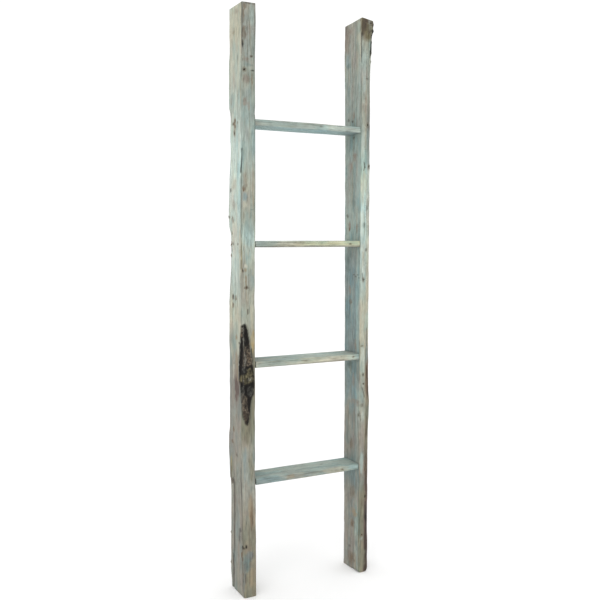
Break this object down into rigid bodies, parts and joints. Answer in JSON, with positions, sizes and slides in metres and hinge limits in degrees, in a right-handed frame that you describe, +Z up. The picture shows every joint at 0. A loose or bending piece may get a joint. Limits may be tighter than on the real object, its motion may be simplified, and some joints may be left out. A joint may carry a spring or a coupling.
{
  "type": "quilt ladder",
  "caption": "Rustic quilt ladder with live-edge wooden rails and flat board rungs in a worn blue-green wash, for hanging folded quilts and blankets.",
  "frame": {"origin": "on the floor at the centre of the bounding box", "axes": "+Z up the rails, +X along the rungs to the right as seen from the front, +Y towards the wall behind"},
  "size_m": [0.461, 0.122, 1.829],
  "materials": {
    "left_rail": "worn blue-green wash over rough-sawn wood",
    "right_rail": "worn blue-green wash over rough-sawn wood",
    "rung_1": "worn blue-green wash over a dressed board",
    "rung_2": "worn blue-green wash over a dressed board",
    "rung_3": "worn blue-green wash over a dressed board",
    "rung_4": "worn blue-green wash over a dressed board",
    "screw_1_left_front": "steel washed over with the wood",
    "screw_1_left_back": "steel washed over with the wood",
    "screw_1_right_front": "steel washed over with the wood",
    "screw_1_right_back": "steel washed over with the wood",
    "screw_2_left_front": "steel washed over with the wood",
    "screw_2_left_back": "steel washed over with the wood",
    "screw_2_right_front": "steel washed over with the wood",
    "screw_2_right_back": "steel washed over with the wood",
    "screw_3_left_front": "steel washed over with the wood",
    "screw_3_left_back": "steel washed over with the wood",
    "screw_3_right_front": "steel washed over with the wood",
    "screw_3_right_back": "steel washed over with the wood",
    "screw_4_left_front": "steel washed over with the wood",
    "screw_4_left_back": "steel washed over with the wood",
    "screw_4_right_front": "steel washed over with the wood",
    "screw_4_right_back": "steel washed over with the wood"
  },
  "bodies": {
    "root": {"left_rail": "left_rail", "right_rail": "right_rail", "rung_1": "rung_1", "rung_2": "rung_2", "rung_3": "rung_3", "rung_4": "rung_4", "screw_1_left_front": "screw_1_left_front", "screw_1_left_back": "screw_1_left_back", "screw_1_right_front": "screw_1_right_front", "screw_1_right_back": "screw_1_right_back", "screw_2_left_front": "screw_2_left_front", "screw_2_left_back": "screw_2_left_back", "screw_2_right_front": "screw_2_right_front", "screw_2_right_back": "screw_2_right_back", "screw_3_left_front": "screw_3_left_front", "screw_3_left_back": "screw_3_left_back", "screw_3_right_front": "screw_3_right_front", "screw_3_right_back": "screw_3_right_back", "screw_4_left_front": "screw_4_left_front", "screw_4_left_back": "screw_4_left_back", "screw_4_right_front": "screw_4_right_front", "screw_4_right_back": "screw_4_right_back"}
  },
  "joints": []
}
